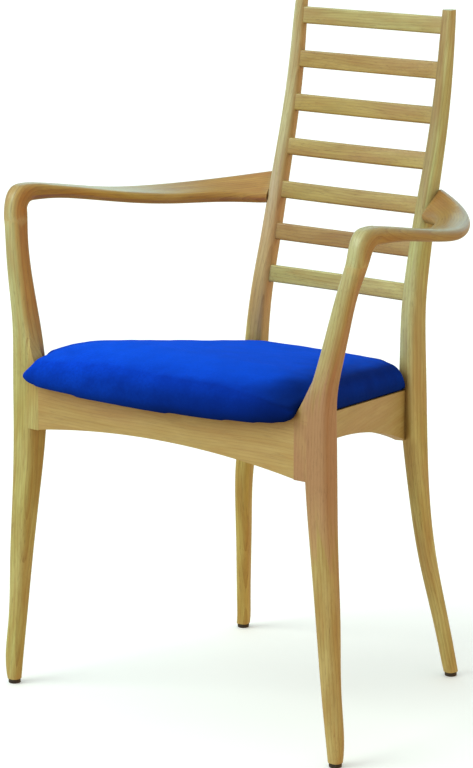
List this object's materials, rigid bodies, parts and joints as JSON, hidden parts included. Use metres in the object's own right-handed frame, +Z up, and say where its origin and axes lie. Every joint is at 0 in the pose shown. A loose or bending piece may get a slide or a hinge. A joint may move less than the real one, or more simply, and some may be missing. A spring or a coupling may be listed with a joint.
{
  "type": "ladder-back dining armchair",
  "caption": "Wooden ladder-back armchair with curved swept arms, bent back slats, tapered legs and a padded blue fabric seat.",
  "frame": {"origin": "on the floor, at the middle of the chair's outline", "axes": "+Z up, -Y is the way the sitter faces, +X to the sitter's left; X = 0 is the plane of symmetry"},
  "size_m": [0.6044, 0.499, 0.92],
  "materials": {
    "frame_wood": "satin oil",
    "block_wood": "bare planed",
    "plywood": "bare sanded",
    "foam": "open cell foam",
    "seat_fabric": "woven wool, royal blue",
    "dust_cloth": "plain non-woven",
    "glide_plastic": "black, smooth",
    "steel": "zinc plated"
  },
  "bodies": {
    "root": {"front_leg_right": "frame_wood", "front_leg_left": "frame_wood", "rear_post_right": "frame_wood", "rear_post_left": "frame_wood", "arm_right": "frame_wood", "arm_left": "frame_wood", "front_rail": "frame_wood", "rear_rail": "frame_wood", "side_rail_right": "frame_wood", "side_rail_left": "frame_wood", "back_slat_1": "frame_wood", "back_slat_2": "frame_wood", "back_slat_3": "frame_wood", "back_slat_4": "frame_wood", "back_slat_5": "frame_wood", "back_slat_6": "frame_wood", "back_slat_7": "frame_wood", "corner_block_front_right": "block_wood", "corner_block_front_left": "block_wood", "corner_block_rear_right": "block_wood", "corner_block_rear_left": "block_wood", "seat_board": "plywood", "seat_foam": "foam", "seat_cover": "seat_fabric", "dust_cloth": "dust_cloth", "foot_glide_front_right": "glide_plastic", "foot_glide_front_left": "glide_plastic", "foot_glide_rear_right": "glide_plastic", "foot_glide_rear_left": "glide_plastic", "glide_nails": "steel", "arm_dowels": "block_wood", "corner_block_bolts": "steel", "seat_screws": "steel", "cover_staples": "steel"}
  },
  "joints": []
}
